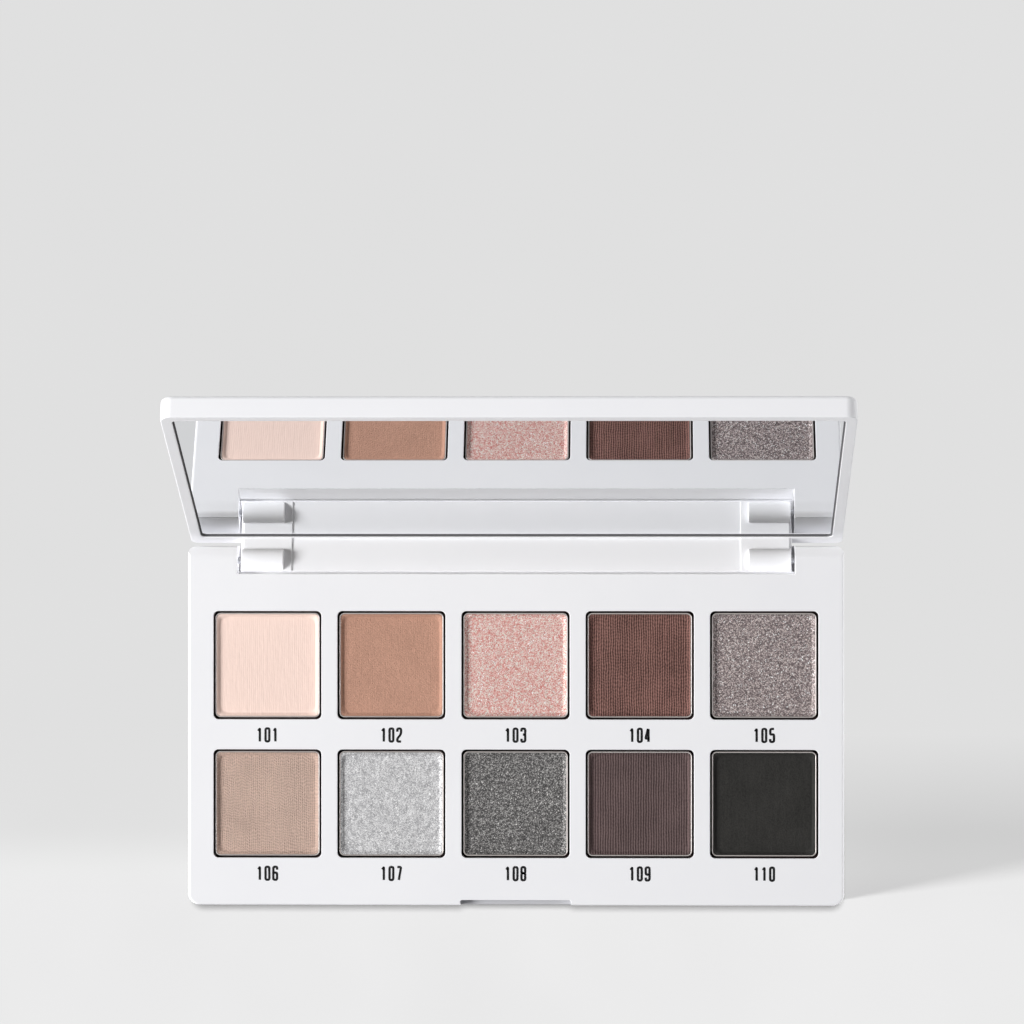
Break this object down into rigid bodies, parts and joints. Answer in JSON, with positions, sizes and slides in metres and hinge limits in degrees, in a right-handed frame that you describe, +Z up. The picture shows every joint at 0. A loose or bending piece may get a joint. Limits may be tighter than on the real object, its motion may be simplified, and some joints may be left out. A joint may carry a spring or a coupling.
{
  "type": "eyeshadow palette",
  "caption": "Rectangular eyeshadow palette: square pans of pressed powder in a low white case whose mirrored lid is hinged at the back and stands open past upright.",
  "frame": {"origin": "centre of the base's underside, on the surface that the palette lies on", "axes": "+Z up out of the pans; +X to the user's right, along the hinge; +Y back towards the hinge"},
  "size_m": [0.14, 0.1071, 0.074],
  "materials": {
    "white_plastic": "satin to gloss, faintly cool white",
    "tinplate": "thin pressed tinplate, satin",
    "hot_melt": "dull, slightly clear",
    "pin_steel": "drawn wire, bright",
    "magnet_nickel": "nickel plated",
    "silvered_glass": "polished float glass, silvered on the back",
    "foam_tape": "matt foam",
    "shade_01": "matt pressed powder, pale peach",
    "shade_02": "matt pressed powder, warm tan",
    "shade_03": "glitter pressed powder, rose",
    "shade_04": "matt pressed powder, dark brown",
    "shade_05": "shimmer pressed powder, mauve grey",
    "shade_06": "matt pressed powder, taupe beige",
    "shade_07": "metallic pressed powder, silver",
    "shade_08": "shimmer pressed powder, gunmetal",
    "shade_09": "matt pressed powder, plum brown",
    "shade_10": "matt pressed powder, near black"
  },
  "bodies": {
    "base": {"base_shell": "white_plastic", "pan_tray": "white_plastic", "pan_01": "tinplate", "powder_01": "shade_01", "glue_spot_01": "hot_melt", "pan_02": "tinplate", "powder_02": "shade_02", "glue_spot_02": "hot_melt", "pan_03": "tinplate", "powder_03": "shade_03", "glue_spot_03": "hot_melt", "pan_04": "tinplate", "powder_04": "shade_04", "glue_spot_04": "hot_melt", "pan_05": "tinplate", "powder_05": "shade_05", "glue_spot_05": "hot_melt", "pan_06": "tinplate", "powder_06": "shade_06", "glue_spot_06": "hot_melt", "pan_07": "tinplate", "powder_07": "shade_07", "glue_spot_07": "hot_melt", "pan_08": "tinplate", "powder_08": "shade_08", "glue_spot_08": "hot_melt", "pan_09": "tinplate", "powder_09": "shade_09", "glue_spot_09": "hot_melt", "pan_10": "tinplate", "powder_10": "shade_10", "glue_spot_10": "hot_melt", "hinge_pin_left": "pin_steel", "base_magnet_left": "magnet_nickel", "hinge_pin_right": "pin_steel", "base_magnet_right": "magnet_nickel"},
    "lid": {"lid_shell": "white_plastic", "mirror_glass": "silvered_glass", "mirror_tape": "foam_tape", "lid_magnet_left": "magnet_nickel", "lid_magnet_right": "magnet_nickel"}
  },
  "joints": [
    {"name": "lid_hinge", "type": "hinge", "parent": "base", "child": "lid", "pos_m": [0, 0.0353, 0.00625], "axis": [1, 0, 0], "range_deg": [0, 109.6]}
  ]
}
